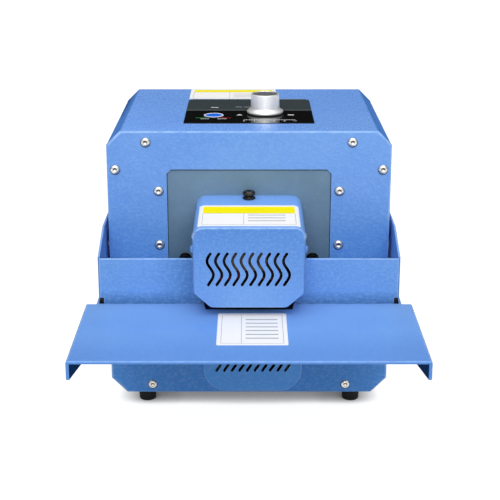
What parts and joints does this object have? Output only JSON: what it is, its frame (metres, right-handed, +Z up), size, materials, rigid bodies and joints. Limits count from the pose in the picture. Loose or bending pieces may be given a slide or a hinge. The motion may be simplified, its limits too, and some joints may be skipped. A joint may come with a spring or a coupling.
{
  "type": "heat sealer",
  "caption": "Benchtop heat sealer: blue folded-steel case, vented heater hood over a wide work shelf with guard walls, rubber feet, and a knob and start button on top.",
  "frame": {"origin": "on the floor under the middle of the machine's overall box", "axes": "+Z up, -Y towards the user and the work shelf, +X to the user's right"},
  "size_m": [0.3202, 0.429, 0.318],
  "materials": {
    "case_paint": "fine-textured powder coat",
    "grey_plate": "satin",
    "steel": "zinc plated",
    "stainless": "polished",
    "black_steel": "black oxide",
    "heated_steel": "heat tinted",
    "quartz": "clear",
    "ceramic": "unglazed",
    "brown_ceramic": "unglazed",
    "red_sleeve": "matt",
    "rubber": "matt",
    "black_plastic": "satin",
    "overlay": "gloss film",
    "knob_aluminium": "satin turned",
    "bezel": "gloss",
    "blue_plastic": "gloss",
    "red_plastic": "gloss",
    "board": "satin",
    "brass": "bright",
    "winding": "enamelled"
  },
  "bodies": {
    "case": {"base_pan": "case_paint", "wrap_cover": "case_paint", "front_panel": "case_paint", "rear_panel": "case_paint", "head_plate": "grey_plate", "plate_rib": "steel", "rubber_feet": "rubber", "foot_screws": "steel", "front_screws": "stainless", "panel_nuts": "steel", "rear_screws": "stainless", "head_bracket": "steel", "bracket_bolts": "black_steel", "plate_bolts": "black_steel", "hood": "case_paint", "hood_screws": "stainless", "reflector": "heated_steel", "heater_tubes": "quartz", "tube_holders": "ceramic", "terminal_block": "brown_ceramic", "heater_leads": "red_sleeve", "head_cable": "red_sleeve", "cable_grommet": "rubber", "temperature_probe": "stainless", "work_shelf": "case_paint", "left_guard": "case_paint", "right_guard": "case_paint", "guard_screws": "stainless", "guard_spacers": "steel", "shelf_screws": "stainless", "platen": "heated_steel", "platen_bracket": "black_steel", "platen_heaters": "heated_steel", "vent_cover": "case_paint", "vent_screws": "stainless", "fan_frame": "black_plastic", "fan_screws": "steel", "control_overlay": "overlay", "potentiometer": "black_plastic", "pot_nut": "steel", "button_bezel": "bezel", "button_switch": "black_plastic", "control_board": "board", "board_parts": "black_plastic", "board_standoffs": "brass", "transformer_core": "steel", "transformer_winding": "winding", "power_inlet": "black_plastic", "inlet_pins": "brass", "rocker_housing": "black_plastic", "fuse_holder": "black_plastic"},
    "knob": {"control_knob": "knob_aluminium", "knob_grub_screw": "black_steel", "pot_shaft": "steel"},
    "button": {"start_button": "blue_plastic"},
    "rocker": {"power_rocker": "red_plastic"},
    "fan": {"fan_rotor": "black_plastic"},
    "thumbscrew": {"hood_thumbscrew": "black_steel"}
  },
  "joints": [
    {"name": "knob_turn", "type": "hinge", "parent": "case", "child": "knob", "pos_m": [0.017, 0.0665, 0.306], "axis": [0, 0, 1], "range_deg": [-140, 140]},
    {"name": "button_press", "type": "slide", "parent": "case", "child": "button", "axis": [0, 0, -1], "range_m": [0, 0.0016], "stiffness_N_per_m": 900},
    {"name": "rocker_tip", "type": "hinge", "parent": "case", "child": "rocker", "pos_m": [-0.032, 0.2045, 0.066], "axis": [-1, 0, 0], "range_deg": [0, 20]},
    {"name": "fan_spin", "type": "hinge", "parent": "case", "child": "fan", "pos_m": [0.004, -0.0025, 0.061], "axis": [0, 1, 0], "continuous": true},
    {"name": "thumbscrew_turn", "type": "hinge", "parent": "case", "child": "thumbscrew", "pos_m": [0, -0.0255, 0.23], "axis": [0, 0, 1], "continuous": true}
  ]
}
